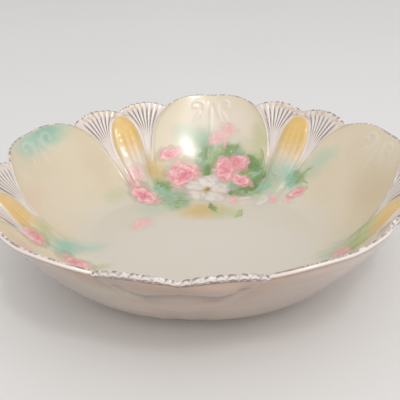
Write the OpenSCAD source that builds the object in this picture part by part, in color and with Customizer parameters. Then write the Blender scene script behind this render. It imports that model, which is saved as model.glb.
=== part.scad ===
// A lobed porcelain serving bowl. Lobes and shell fans take turns round the rim, and a long
// petal-shaped boss runs down the wall between each pair of fans. Millimetres, +Z up.

/* [Rim] */
// Radius of the rim at the notch beside each lobe
notch_r = 130; // [120:1:145]
// Height of the rim at that notch
notch_h = 63.4; // [54:0.2:74]
// Width of a lobe along the rim, from notch to notch
lobe_w = 78; // [70:1:88]
// Rise of a lobe's crown above the notches
lobe_rise = 6.8; // [3:0.2:12]
// How far a lobe's crown leans out past the notches
lobe_lean = 8; // [4:0.5:10]
// Dip in the middle of a lobe's crown
lobe_dip = 1; // [0:0.1:1.5]
// Rise of a fan's crown above the notches
fan_rise = 4.8; // [2:0.2:7]
// How far a fan's crown leans out past the notches
fan_lean = 2.5; // [0:0.1:5]

/* [Wall] */
// Wall thickness at the rim
rim_t = 3; // [2.6:0.1:4.5]
// Thickness of the floor
floor_t = 4.5; // [3:0.1:7]
// Height of the rounded lip above the wall's end
lip_h = 1.3; // [0.6:0.1:2]
// Radius of the flat floor under a lobe
floor_r_lobe = 79; // [76:0.5:84]
// Radius of the flat floor under a boss
floor_r_boss = 73.5; // [72.5:0.5:76]
// Run of the curve from the floor into a lobe
belly_lobe = 21.5; // [15:0.5:28]
// Run of the curve from the floor into the wall behind a boss
belly_boss = 24; // [16:0.5:27]
// Slope of a lobe at the rim, in degrees from level
slope_lobe = 54; // [48:1:62]
// Slope of the wall behind a boss at the rim, in degrees from level
slope_boss = 67; // [58:1:72]
// Length of the wall's straight end below the rim
shoulder = 18; // [12:1:26]
// Width left between two lobes where they meet the floor
meet_w = 18.5; // [12:0.5:22]

/* [Foot ring] */
// Outer radius of the foot ring
foot_r = 70; // [60:0.5:72]
// Width of the foot ring
foot_w = 6; // [3:0.5:10]
// Height of the foot ring
foot_h = 3; // [2:0.5:6]
// Rounding of the foot ring's lower edges
foot_round = 1; // [0.4:0.1:1.4]

/* [Fans] */
// Depth of the sunken field that holds the fans, behind the lobes' edges
field_depth = 1.1; // [0.6:0.1:1.4]
// Width of the step from a lobe's edge down to that field
step_w = 0.6; // [0.4:0.1:1]
// Swell of the wall behind the fans
swell = 1.6; // [0:0.1:2.5]
// Ribs on each fan
ribs = 8; // [4:4:12]
// Height of a rib above the groove beside it
rib_h = 1.2; // [0.4:0.1:2]
// Thickness of a fan at its grooves
fan_t = 0.7; // [0.4:0.1:1.2]
// Where a fan's stem ends: 0 at the floor, 1 at the rim
fan_root = 0.56; // [0.5:0.02:0.6]

/* [Bosses] */
// Width of a boss
boss_w = 25; // [18:0.5:27]
// Height of a boss above its edge
boss_h = 3.8; // [1.5:0.1:5]
// Thickness of a boss at its edge
boss_t = 0.8; // [0.4:0.1:1.5]
// Gap between a boss and the fans beside it
boss_gap = 2.4; // [1:0.1:4]
// Gap between a boss's tip and the fans beside it, at the rim
tip_gap = 0.5; // [0.2:0.1:2]
// Margin between a boss and the lobes beside its tail
tail_gap = 2; // [1.5:0.1:2.5]
// Where a boss is widest: 0 at the floor, 1 at the rim
boss_belly = 0.66; // [0.6:0.02:0.72]
// Where a boss has its tip: 0 at the floor, 1 at the rim
boss_tip = 0.95; // [0.9:0.01:0.96]
// Where a boss has the end of its tail: 0 at the floor, 1 at the rim
boss_tail = 0.08; // [0.04:0.02:0.2]

/* [Hidden] */
lobes = 5;
half_sector = 180 / lobes;
first_lobe = 90;

// Columns of the wall's grid from a lobe's middle to a boss's middle
lobe_steps = 6;
fan_steps = 4;
boss_steps = 2;
fan_start = lobe_steps + 1;
boss_start = fan_start + fan_steps + 1;
half_columns = boss_start + boss_steps;
columns = 2 * half_columns * lobes;

// Finer columns on the faces of the fans and bosses, for each column of the wall
columns_per_rib = 3;
fan_fine = columns_per_rib * ribs / fan_steps;
boss_fine = 2;

// Rows of the wall's grid, from the floor to the rim
outside_steps = 8;
tail_steps = 4;
egg_steps = 6;
outside_rows = [for (i = [0:outside_steps]) i / outside_steps];
inside_rows = concat(
    [0],
    [for (i = [0:tail_steps - 1]) mix(boss_tail, fan_root, i / tail_steps)],
    [for (i = [0:egg_steps]) mix(fan_root, boss_tip, i / egg_steps)],
    [1]
);
lip_turns = [135, 90, 45];
lap_turns = [90, 45];

// Heights on the wall, 0 at the floor and 1 at the rim, over which each form comes or goes
wall_thins = [0, 0.5];
field_sinks = [fan_root - 0.12, fan_root + 0.08];
swell_comes = [0.77, 0.87];
swell_goes = [0.87, 1];
ribs_come = [fan_root + 0.06, fan_root + 0.3];
dome_comes = [boss_tail, boss_tail + 0.5];
dome_goes = [boss_tip - 0.16, boss_tip];
gap_closes = [0.84, 1];

// Shapes of the curves
lobe_power = 2.8;
fan_power = 2.2;
dip_width = 0.3;
spread_power = 2.9;
tail_power = 1.3;
tail_taper = 0.75;
tip_bluntness = 0.2;
gap_share = 0.35;

notch_angle = asin(lobe_w / 2 / notch_r);
meet_angle = half_sector - asin(meet_w / 2 / floor_r_boss);
fan_half = (half_sector - notch_angle) / 2;

function clamp(x) = max(0, min(1, x));
function smooth(x) = let (t = clamp(x)) t * t * (3 - 2 * t);
function ramp(span, v) = smooth((v - span[0]) / (span[1] - span[0]));
function mix(a, b, t) = a + (b - a) * t;
function unit(w) = w / norm(w);
function turned(w) = [-w[1], w[0]];
function downward(list) = [for (k = [len(list) - 1:-1:0]) list[k]];

// The rim, by angle from the middle of a lobe
function lobe_arch(p) = 1 - pow(clamp(p / notch_angle), lobe_power);
function fan_arch(p) = 1 - pow(clamp(abs(p - notch_angle - fan_half) / fan_half), fan_power);
function crown_dip(p) = lobe_dip * exp(-pow(p / notch_angle / dip_width, 2));
function rim_r(p) = notch_r + (p < notch_angle ? lobe_lean * lobe_arch(p) : fan_lean * fan_arch(p));
function rim_h(p) = notch_h
    + (p < notch_angle ? lobe_rise * lobe_arch(p) - crown_dip(p) : fan_rise * fan_arch(p));

// The edge of the lobes at a height on the wall, and the angle on the rim that a place below it leads to
function lobe_edge(v) = mix(meet_angle, notch_angle, pow(v, spread_power));
function rim_angle(p, v) = let (edge = lobe_edge(v)) p < edge ? p * notch_angle / edge
    : half_sector - (half_sector - p) * (half_sector - notch_angle) / (half_sector - edge);

// The wall's outer profile, a cubic curve from the floor's edge to the rim
function lobe_share(p) = (1 + cos(lobes * p)) / 2;
function profile(p, v) =
    let (
        share = lobe_share(p),
        slope = mix(slope_boss, slope_lobe, share),
        along = [cos(slope), sin(slope)],
        start = [mix(floor_r_boss, floor_r_lobe, share), foot_h],
        top = rim_angle(p, v),
        end = [rim_r(top), rim_h(top)] - turned(along) * rim_t / 2 - along * lip_h
    )
    [start, start + [mix(belly_boss, belly_lobe, share), 0], end - along * shoulder, end];
function curve(b, v) = let (u = 1 - v)
    u * u * u * b[0] + 3 * u * u * v * b[1] + 3 * u * v * v * b[2] + v * v * v * b[3];
function way(b, v) = let (u = 1 - v)
    unit(u * u * (b[1] - b[0]) + 2 * u * v * (b[2] - b[1]) + v * v * (b[3] - b[2]));

// Edges of the sunken field, fans and bosses at a height on the wall
function middle_r(v) = curve(profile(half_sector, v), v)[0];
function field_half(v) = middle_r(v) * sin(half_sector - lobe_edge(v));
function egg_shape(v) = let (t = (v - boss_belly) / (boss_tip - boss_belly))
    sqrt(max(tip_bluntness * tip_bluntness, 1 - t * t));
function tail_shape(v) = 1 - tail_taper * pow((boss_belly - v) / boss_belly, tail_power);
function boss_shape(v) = v > boss_belly ? egg_shape(v) : tail_shape(v);
function boss_half(v) = min(boss_w / 2 * boss_shape(v), field_half(v) - tail_gap);
function gap_at(v) = min(mix(boss_gap, tip_gap, ramp(gap_closes, v)),
    gap_share * (field_half(v) - boss_half(v)));
function angle_at(w, v) = half_sector - asin(w / middle_r(v));
function fan_outer(v) = angle_at(field_half(v) - step_w, v);
function fan_inner(v) = angle_at(boss_half(v) + gap_at(v), v);
function boss_edge(v) = angle_at(boss_half(v), v);

// Angle of a column from the middle of its lobe; part columns lie between whole ones
function station(a, v) = a <= lobe_steps ? lobe_edge(v) * a / lobe_steps
    : a <= fan_start + fan_steps ? mix(fan_outer(v), fan_inner(v), (a - fan_start) / fan_steps)
    : mix(boss_edge(v), half_sector, (a - boss_start) / boss_steps);

// The wall's thickness, its sunken field and its swell
function field_at(a, v) = a < fan_start ? 0 : field_depth * ramp(field_sinks, v);
function wall_t(a, v) = mix(floor_t, rim_t, ramp(wall_thins, v)) - field_at(a, v);
function swell_at(p, v) = swell * smooth((p - lobe_edge(v)) / fan_half)
    * ramp(swell_comes, v) * (1 - ramp(swell_goes, v));

// A column counts on from the boss before the first lobe: its sector, its place and its angle
function sector_of(c) = floor(c / (2 * half_columns));
function place_of(c) = c - sector_of(c) * 2 * half_columns - half_columns;
function angle_of(c, v) = first_lobe + 2 * half_sector * sector_of(c)
    + sign(place_of(c)) * station(abs(place_of(c)), v);
function at_angle(angle, q) = [q[0] * cos(angle), q[0] * sin(angle), q[1]];

// Points on the wall: outside, inside with a lift off the surface, and round the lip
function outside(c, v) =
    let (p = station(abs(place_of(c)), v), b = profile(p, v))
    at_angle(angle_of(c, v), curve(b, v) - turned(way(b, v)) * swell_at(p, v));
function inside(c, v, lift = 0) =
    let (a = abs(place_of(c)), p = station(a, v), b = profile(p, v))
    at_angle(angle_of(c, v), curve(b, v) + turned(way(b, v)) * (wall_t(a, v) - swell_at(p, v) + lift));
function lip(c, turn, lift = 0) =
    let (
        a = abs(place_of(c)),
        b = profile(station(a, 1), 1),
        along = way(b, 1),
        half = wall_t(a, 1) / 2
    )
    at_angle(angle_of(c, 1), b[3] + turned(along) * (half + (half + lift) * cos(turn))
        + along * (lip_h + lift) * sin(turn));

// Triangles of a grid whose rows follow one another; a ring joins its last column to its first
function quad_faces(a, b, c, d) = [[a, d, b], [a, c, d]];
function grid_faces(rows, width, first = 0, ring = false) =
    [for (i = [0:rows - 2], j = [0:width - (ring ? 1 : 2)])
        let (low = first + i * width, k = (j + 1) % width)
        each quad_faces(low + j, low + k, low + width + j, low + width + k)];
function flipped(faces) = [for (f = faces) [f[2], f[1], f[0]]];

module bowl_body() {
    around = [0:columns - 1];
    rings = concat(
        [for (v = outside_rows) [for (c = around) outside(c, v)]],
        [for (t = lip_turns) [for (c = around) lip(c, t)]],
        [for (v = downward(inside_rows)) [for (c = around) inside(c, v)]]
    );
    floor_ring = (len(rings) - 1) * columns;
    under_middle = len(rings) * columns;
    floor_middle = under_middle + 1;
    points = concat([for (r = rings) each r], [[0, 0, foot_h], [0, 0, foot_h + floor_t]]);
    faces = concat(
        grid_faces(len(rings), columns, 0, true),
        [for (j = around) [j, (j + 1) % columns, under_middle]],
        [for (j = around) [floor_ring + (j + 1) % columns, floor_ring + j, floor_middle]]
    );
    color([0.93, 0.89, 0.83]) polyhedron(points, faces);
}

module foot_ring() {
    inner_r = foot_r - foot_w;
    color([0.9, 0.87, 0.83]) rotate_extrude($fn = 96) difference() {
        translate([inner_r, 0]) square([foot_w, foot_h]);
        for (side = [0, 1]) {
            corner = side == 0 ? inner_r : foot_r - foot_round;
            centre = side == 0 ? inner_r + foot_round : foot_r - foot_round;
            difference() {
                translate([corner, 0]) square(foot_round);
                translate([centre, foot_round]) circle(foot_round, $fn = 48);
            }
        }
    }
}

// A relief on the inside of the wall. Its back lies on the wall's own facets, its face has a
// number of fine columns for each column of the back, and its rows run down from the rim.
module relief(face, back, fine) {
    rows = len(back);
    wide = len(face[0]);
    slim = len(back[0]);
    back_top = rows * wide;
    face_end = (rows - 1) * wide;
    back_end = back_top + (rows - 1) * slim;
    points = concat([for (r = face) each r], [for (r = back) each r]);
    sides = [for (i = [0:rows - 2])
        let (f = i * wide, b = back_top + i * slim)
        each concat(
            flipped(quad_faces(f, b, f + wide, b + slim)),
            quad_faces(f + wide - 1, b + slim - 1, f + 2 * wide - 1, b + 2 * slim - 1)
        )];
    top = [for (j = [0:slim - 2])
        each concat(
            [for (k = [0:fine - 1]) [j * fine + k + 1, back_top + j, j * fine + k]],
            [[(j + 1) * fine, back_top + j + 1, back_top + j]]
        )];
    bottom = [for (j = [0:slim - 2])
        each concat(
            [for (k = [0:fine - 1]) [back_end + j, face_end + j * fine + k + 1, face_end + j * fine + k]],
            [[back_end + j + 1, face_end + (j + 1) * fine, back_end + j]]
        )];
    polyhedron(points, concat(
        grid_faces(rows, wide), flipped(grid_faces(rows, slim, back_top)), sides, top, bottom));
}

// A shell fan with its stem, lapped over the lip; side is -1 before its lobe's middle and 1 after it
function rib_lift(f, v) = fan_t + rib_h * ramp(ribs_come, v) * abs(sin(180 * ribs * f));
module fan(i, side) {
    middle = (2 * i - 1) * half_columns;
    from = middle + (side > 0 ? fan_start : -fan_start - fan_steps);
    heights = downward([for (v = inside_rows) if (v >= fan_root) v]);
    whole = [0:fan_steps];
    parts = [for (k = [0:fan_steps * fan_fine]) k / fan_fine];
    face = concat(
        [for (t = lap_turns) [for (k = parts) lip(from + k, t, rib_lift(k / fan_steps, 1))]],
        [for (v = heights) [for (k = parts) inside(from + k, v, rib_lift(k / fan_steps, v))]]
    );
    back = concat(
        [for (t = lap_turns) [for (k = whole) lip(from + k, t)]],
        [for (v = heights) [for (k = whole) inside(from + k, v)]]
    );
    color([0.92, 0.86, 0.84]) relief(face, back, fan_fine);
}

// A petal-shaped boss, domed across and highest near its widest place
function dome(v) = ramp(dome_comes, v) * (1 - ramp(dome_goes, v));
function boss_lift(f, v) = boss_t + boss_h * dome(v) * sqrt(1 - pow(2 * f - 1, 2));
module boss(i) {
    from = 2 * i * half_columns - boss_steps;
    heights = downward([for (v = inside_rows) if (v >= boss_tail && v <= boss_tip) v]);
    width = 2 * boss_steps;
    parts = [for (k = [0:width * boss_fine]) k / boss_fine];
    face = [for (v = heights) [for (k = parts) inside(from + k, v, boss_lift(k / width, v))]];
    back = [for (v = heights) [for (k = [0:width]) inside(from + k, v)]];
    color([0.89, 0.73, 0.38]) relief(face, back, boss_fine);
}

bowl_body();
foot_ring();
for (i = [1:lobes]) {
    boss(i);
    fan(i, -1);
    fan(i, 1);
}
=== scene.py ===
import math

import bmesh
import bpy
import numpy as np
from bpy.props import FloatProperty, FloatVectorProperty, IntProperty, PointerProperty
from mathutils import Matrix, Vector


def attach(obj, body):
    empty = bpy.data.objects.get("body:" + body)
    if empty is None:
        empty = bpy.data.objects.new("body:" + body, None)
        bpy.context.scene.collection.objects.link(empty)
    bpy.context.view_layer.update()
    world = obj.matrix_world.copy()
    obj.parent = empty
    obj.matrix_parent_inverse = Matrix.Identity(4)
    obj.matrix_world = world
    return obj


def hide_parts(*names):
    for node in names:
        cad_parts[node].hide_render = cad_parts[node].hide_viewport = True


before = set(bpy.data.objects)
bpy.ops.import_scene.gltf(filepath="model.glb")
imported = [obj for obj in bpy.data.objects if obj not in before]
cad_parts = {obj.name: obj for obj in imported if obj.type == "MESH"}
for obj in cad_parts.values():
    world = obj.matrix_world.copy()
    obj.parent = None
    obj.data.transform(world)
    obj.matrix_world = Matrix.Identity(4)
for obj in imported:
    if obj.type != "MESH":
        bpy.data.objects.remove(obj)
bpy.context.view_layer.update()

bl_info = {
    "name": "Lobed porcelain bowl",
    "version": (1, 0, 0),
    "blender": (4, 5, 0),
    "location": "View3D > Sidebar > Bowl",
    "description": "Dresses a lobed serving bowl: glazed wall, shell fans, gilt petals, foot ring and stage",
    "category": "Add Mesh",
}

MM = 0.001

# The bowl repeats lobe by lobe. Angles run from a lobe's middle, and heights on the wall run
# from 0 at the floor to 1 at the rim.
LOBES = 5
HALF_SECTOR = math.pi / LOBES
FIRST_LOBE = math.pi / 2

# Shapes of the curves
LOBE_POWER = 2.8
FAN_POWER = 2.2
DIP_WIDTH = 0.3
SPREAD_POWER = 2.9
TAIL_POWER = 1.3
TAIL_TAPER = 0.75
TIP_BLUNTNESS = 0.2
TIP_TAPER = 0.8
OUTLINE_PASSES = 16
OUTLINE_OFF = 1.5
OUTLINE_LEAST = 0.4
GAP_SHARE = 0.35
RIB_POWER = 0.62
RIB_TIP_POWER = 1.6
FAN_MARGIN = 0.1
FAN_START = 0.06
NOTCH_ROUNDING = 0.022
WALL_RUN = 0.07
INNER_SWELL = 0.4
BULGE_POWER = 0.6
VEIN_WIDTH = 0.12
SIDE_VEIN_AT = 0.45
RIPPLE_DEPTH = 0.35
RIPPLE_RATE = 95
RIPPLE_SLANT = 5

# Heights on the wall over which each form comes or goes
WALL_THINS = (0, 0.5)
SWELL_COMES = (0.77, 0.87)
SWELL_GOES = (0.87, 1)
GAP_CLOSES = (0.84, 1)
VALLEY_COMES = (0.06, 0.25)
BEAD_GOES = (0.9, 1)
VEIN_COMES = (0.4, 0.55)
VEIN_GOES = (0.66, 0.8)
RIB_TIPS = (0.86, 1)
CREST_SOFTENS = (0.9, 1)
RIB_END = 1.0001
LINE_COMES = (0.12, 0.35)
FIELD_PALES = (0.44, 0.62)
LAP_END = 0.975

# The same, as heights over a fan's root
FIELD_SINKS = (-0.12, 0.08)
FAN_COMES = (0, 0.14)
RIBS_COME = (0.07, 0.32)
STEM_GOES = (0.16, 0.34)

# Runs of height from a petal's tail, below its tip and above its tip
TAIL_RUN = 0.1
DOME_RUN = 0.5
TIP_RUN = 0.03
TIP_CLEAR = 0.01

# The crease outside: its height at a lobe's edge and at a petal's middle, its lowest point between them,
# and the run, width and strength of the groove and of the painted shade that lie along it. A place across
# is 0 at the lobe's edge and 1 at the petal's middle.
CREASE_ENDS = (1.08, 0.86)
CREASE_LOW = 0.757
CREASE_LOW_AT = 0.35
CREASE_POWERS = (1.8, 1.6)
CREASE_RUN = 0.07
CREASE_WIDTH = 0.025
CREASE_STARTS = 0.06
CREASE_FADES = 0.4
CREASE_SHADE = 0.45
SHADE_RUN = 0.18
BULGE_STARTS = 0.2

# Places across a zone where a bead, a dark line of painted shade, or the fields' white lies
BEAD_AT = 0.35
BEAD_WIDTH = 0.2
ROLL_LINE = (0.6, 0.9)
ROLL_WHITE = (0.5, 0.8)
GAP_LINE = (0, 0.25)

# Relief pressed into a lobe's crown, in millimetres across from its middle and down from the rim.
# Curls have a middle, radius, half width and sweep in radians, and close in by a share of their radius.
# Feathers have a start, lean in degrees, length and half width, and are fuller near their start.
CURLS = (((11.5, 10), 6.5, 3.2, 4.0), ((14.5, 11), 1.5, 2.2, 5.5))
CURL_START = 2.4
CURL_OPENS = 6
CURL_CLOSES = 0.35
FEATHERS = (((0, 10), 0, 23, 2.4), ((3, 5), 19, 19, 3.2), ((9, 14), 32, 12, 2.2))
FEATHER_ENDS = (1.25, 0.5)
FEATHER_SHARE = 0.8
SCROLL_POWER = 1.5
SCROLL_THIN = 0.01

# Heights closer than HAIR and points closer than WELD are one, and edges past SHARP shade as edges
HAIR = 1e-9
WELD = 1e-6
SHARP = math.radians(50)

# Zones of a half sector, from a lobe's middle to a petal's middle
LOBE, ROLL, FAN, GAP, PETAL = range(5)


def srgb(red, green, blue):
    """A colour written as it shows on a screen, 0 to 255, in linear light."""
    shares = [channel / 255 for channel in (red, green, blue)]
    return [c / 12.92 if c <= 0.04045 else ((c + 0.055) / 1.055) ** 2.4 for c in shares]


def length(label, note, value):
    """A length that a user may change, in metres."""
    return FloatProperty(name=label, description=note, default=value, unit="LENGTH", precision=4)


def angle(label, note, degrees):
    """An angle that a user may change."""
    return FloatProperty(name=label, description=note, default=math.radians(degrees), subtype="ANGLE")


def share(label, note, value):
    """A height on the wall that a user may change, 0 at the floor and 1 at the rim."""
    return FloatProperty(name=label, description=note, default=value, min=0, max=1, subtype="FACTOR")


def colour(label, note, *screen):
    """A colour that a user may change."""
    return FloatVectorProperty(
        name=label, description=note, default=srgb(*screen), size=3, min=0, max=1, subtype="COLOR")


class BowlSizes(bpy.types.PropertyGroup):
    """Sizes of the bowl, which match its solids."""
    notch_radius: length("Notch radius", "Radius of the rim at the notch beside a lobe", 0.130)
    notch_height: length("Notch height", "Height of the rim at that notch", 0.0634)
    lobe_width: length("Lobe width", "Width of a lobe along the rim, from notch to notch", 0.078)
    lobe_rise: length("Lobe rise", "Rise of a lobe's crown above the notches", 0.0068)
    lobe_lean: length("Lobe lean", "How far a lobe's crown leans out past the notches", 0.0080)
    lobe_dip: length("Lobe dip", "Dip in the middle of a lobe's crown", 0.0010)
    fan_rise: length("Fan rise", "Rise of a fan's crown above the notches", 0.0048)
    fan_lean: length("Fan lean", "How far a fan's crown leans out past the notches", 0.0025)
    rim_thickness: length("Rim thickness", "Wall thickness at the rim", 0.003)
    floor_thickness: length("Floor thickness", "Thickness of the floor", 0.0045)
    lip_height: length("Lip height", "Height of the rounded lip above the wall's end", 0.0013)
    floor_radius_lobe: length("Floor radius, lobe", "Radius of the flat floor under a lobe", 0.079)
    floor_radius_petal: length("Floor radius, petal", "Radius of the flat floor under a petal", 0.0735)
    belly_lobe: length("Belly, lobe", "Run of the curve from the floor into a lobe", 0.0215)
    belly_petal: length("Belly, petal", "Run of the curve from the floor into a petal's wall", 0.024)
    slope_lobe: angle("Slope, lobe", "Slope of a lobe at the rim, from level", 54)
    slope_petal: angle("Slope, petal", "Slope of the wall behind a petal at the rim, from level", 67)
    shoulder: length("Shoulder", "Length of the wall's straight end below the rim", 0.018)
    meet_width: length("Meeting width", "Width left between two lobes where they meet the floor", 0.0185)
    foot_radius: length("Foot radius", "Outer radius of the foot ring", 0.070)
    foot_width: length("Foot width", "Width of the foot ring", 0.006)
    foot_height: length("Foot height", "Height of the foot ring", 0.003)
    foot_round: length("Foot rounding", "Rounding of the foot ring's lower edges", 0.001)
    field_depth: length("Field depth", "Depth of the sunken field that holds the fans", 0.0011)
    valley_depth: length("Valley depth", "Depth of the valley below each fan", 0.0004)
    step_width: length("Step width", "Width of the step from a lobe's edge down to the field", 0.0006)
    roll_width: length("Roll width", "Width of the rounded edge of a lobe", 0.0026)
    roll_bead: length("Roll bead", "Height of the thin bead along a lobe's edge", 0.00025)
    swell: length("Swell", "Swell of the wall behind the fans", 0.0016)
    crease_depth: length("Crease depth", "Depth of the crease below that swell, outside", 0.0006)
    ribs: IntProperty(name="Ribs", description="Ribs on each fan", default=8, min=2, max=16)
    rib_height: length("Rib height", "Height of a rib above the groove beside it", 0.0012)
    rib_tip: length("Rib tip", "Height of a rib at the rim", 0.00045)
    fan_edge: length("Fan edge", "Thickness of a fan at its edge", 0.0003)
    stem_height: length("Stem height", "Height of a fan's smooth stem", 0.0011)
    rib_lap: share("Rib lap", "Share of a rib's height that shows outside the rim", 0.5)
    lap_depth: length("Lap depth", "Thickness of a fan where it laps over the rim", 0.0003)
    fan_root: share("Fan root", "Where a fan's stem ends", 0.56)
    petal_width: length("Petal width", "Width of a petal", 0.025)
    petal_height: length("Petal height", "Height of a petal above its edge", 0.0038)
    petal_edge: length("Petal edge", "Thickness of a petal at its edge", 0.0004)
    petal_gap: length("Petal gap", "Gap between a petal and the fans beside it", 0.0024)
    tip_gap: length("Tip gap", "Gap between a petal's tip and the fans beside it, at the rim", 0.0005)
    tail_margin: length("Tail margin", "Margin between a petal's tail and the lobes beside it", 0.002)
    vein_height: length("Vein height", "Height of the veins down a petal", 0.0005)
    outline_height: length("Outline height", "Height of the thin bead round a petal", 0.00045)
    outline_width: length("Outline width", "Half width of that bead", 0.0006)
    petal_belly: share("Petal belly", "Where a petal is widest", 0.66)
    petal_tip: share("Petal tip", "Where a petal has its tip", 0.95)
    petal_tail: share("Petal tail", "Where a petal has the end of its tail", 0.08)
    scroll_height: length("Scroll height", "Height of the scrolls pressed into a lobe's crown", 0.0003)


class BowlColours(bpy.types.PropertyGroup):
    """Colours of the glaze, the painting, the gilding and the stage."""
    cream: colour("Cream", "Glaze inside the lobes", 227, 213, 187)
    # Tan also lies over the right lobe as a wash of painted shade
    tan: colour("Tan", "Deeper tint low on the lobes", 213, 194, 160)
    ivory: colour("Ivory", "Glaze of the floor", 213, 205, 192)
    shell: colour("Shell", "Glaze of the shell fans", 235, 225, 220)
    lip: colour("Lip", "Glaze of the rounded rim", 236, 223, 215)
    # Groove: painted shade in the fans' grooves, between the rib tips, in the crevices beside the relief and
    # in the crease outside
    groove: colour("Groove", "Tint that lies in the grooves", 118, 100, 90)
    # Outer glaze: darker than the porcelain's own pale tone, partly painted shade of the outer wall
    outer: colour("Outer glaze", "Glaze outside", 174, 150, 135)
    gold: colour("Gold", "Gilding on the rib tips", 214, 178, 106)
    worn_gold: colour("Worn gold", "Worn gilding along the rim", 112, 84, 66)
    honey: colour("Honey", "Lustre on the petals", 236, 195, 112)
    rose: colour("Rose", "Roses", 241, 164, 172)
    rose_deep: colour("Deep rose", "Hearts and folds of the roses", 215, 98, 118)
    rose_pale: colour("Pale rose", "Edges of the roses' petals", 249, 208, 206)
    blossom: colour("Blossom", "White blossom", 234, 226, 216)
    blossom_shade: colour("Blossom shade", "Folds of the white blossom", 190, 184, 176)
    heart: colour("Heart", "Heart of the white blossom", 168, 128, 74)
    leaf: colour("Leaf", "Green leaves", 120, 152, 84)
    leaf_light: colour("Light leaf", "Light leaves and stems", 170, 186, 118)
    moss: colour("Moss", "Dark leaves and shadows among them", 94, 120, 58)
    teal: colour("Teal", "Blue-green leaves", 142, 180, 152)
    aqua: colour("Aqua", "Turquoise washes", 148, 198, 180)
    # Amber also deepens the petals' flanks as painted shade
    amber: colour("Amber", "Yellow washes", 210, 176, 104)
    sage: colour("Sage", "Grey-green washes", 182, 200, 174)
    peach: colour("Peach", "Faint rosy washes and the lustre outside", 231, 198, 174)
    biscuit: colour("Biscuit", "Bare porcelain under the foot", 214, 205, 194)
    floor: colour("Floor", "Floor of the stage", 232, 231, 229)


def smooth(x):
    """0 up to 0, 1 from 1 on, and eased between them."""
    t = np.clip(x, 0, 1)
    return t * t * (3 - 2 * t)


def ramp(span, v):
    """0 up to the start of a span, 1 from its end on, and eased between them."""
    return smooth((v - span[0]) / (span[1] - span[0]))


def mix(a, b, t):
    """a where t is 0 and b where it is 1."""
    return a + (b - a) * t


def bell(x):
    """1 at 0 and less on both sides."""
    return np.exp(-(x**2))


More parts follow.
